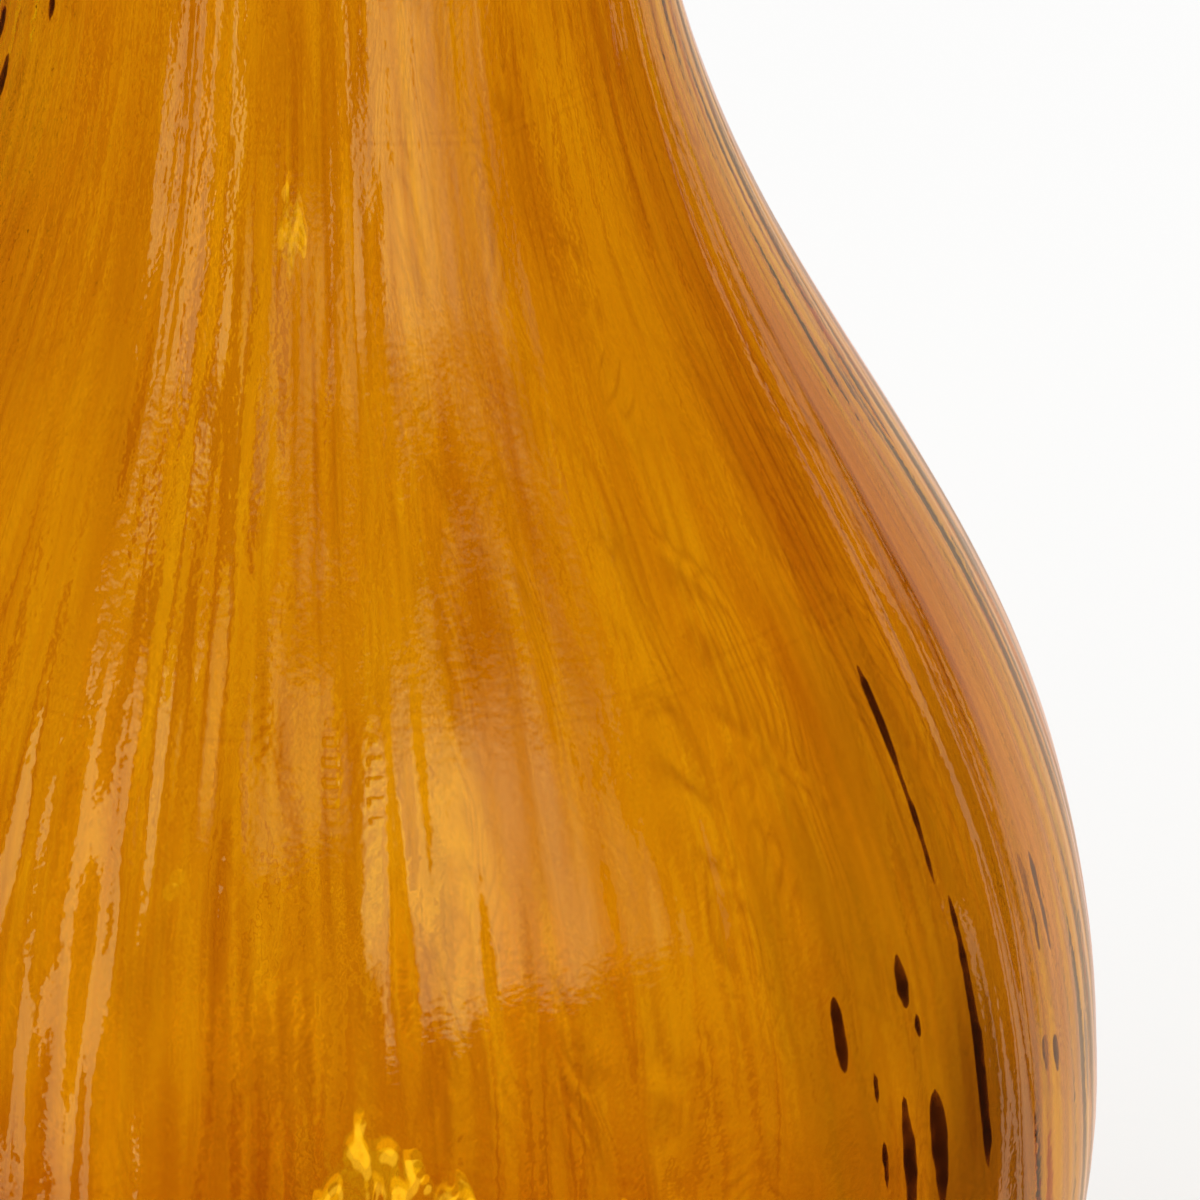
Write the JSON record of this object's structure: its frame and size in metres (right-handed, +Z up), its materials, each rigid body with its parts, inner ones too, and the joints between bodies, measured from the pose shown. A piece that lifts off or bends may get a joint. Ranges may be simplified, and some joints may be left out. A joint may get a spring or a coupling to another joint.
{
  "type": "vase",
  "caption": "Hand-blown pear-shaped glass vase with a flared mouth, a thick ground foot and dark chips drawn out in the wall under a clear outer layer.",
  "frame": {"origin": "centre of the ground foot, on the surface that the vase stands on", "axes": "+Z up along the vase's axis, -Y towards the viewer of the picture, +X to the viewer's right"},
  "size_m": [0.24, 0.24, 0.35],
  "materials": {
    "amber_glass": "glossy, transparent, streaked along the wall",
    "clear_glass": "glossy, clear, with a soft waviness",
    "dark_glass": "glossy, opaque dark brown"
  },
  "bodies": {
    "root": {"amber_body": "amber_glass", "clear_casing": "clear_glass", "dark_chip_01": "dark_glass", "dark_chip_02": "dark_glass", "dark_chip_03": "dark_glass", "dark_chip_04": "dark_glass", "dark_chip_05": "dark_glass", "dark_chip_06": "dark_glass", "dark_chip_07": "dark_glass", "dark_chip_08": "dark_glass", "dark_chip_09": "dark_glass", "dark_chip_10": "dark_glass", "dark_chip_11": "dark_glass", "dark_chip_12": "dark_glass", "dark_chip_13": "dark_glass", "dark_chip_14": "dark_glass", "dark_chip_15": "dark_glass", "dark_chip_16": "dark_glass", "dark_chip_17": "dark_glass", "dark_chip_18": "dark_glass", "dark_chip_19": "dark_glass", "dark_chip_20": "dark_glass", "dark_chip_21": "dark_glass", "dark_chip_22": "dark_glass", "dark_chip_23": "dark_glass", "dark_chip_24": "dark_glass", "dark_chip_25": "dark_glass", "dark_chip_26": "dark_glass", "dark_chip_27": "dark_glass", "dark_chip_28": "dark_glass", "dark_chip_29": "dark_glass", "dark_chip_30": "dark_glass", "dark_chip_31": "dark_glass", "dark_chip_32": "dark_glass", "dark_chip_33": "dark_glass", "dark_chip_34": "dark_glass", "dark_chip_35": "dark_glass", "dark_chip_36": "dark_glass", "dark_chip_37": "dark_glass", "dark_chip_38": "dark_glass", "dark_chip_39": "dark_glass"}
  },
  "joints": []
}
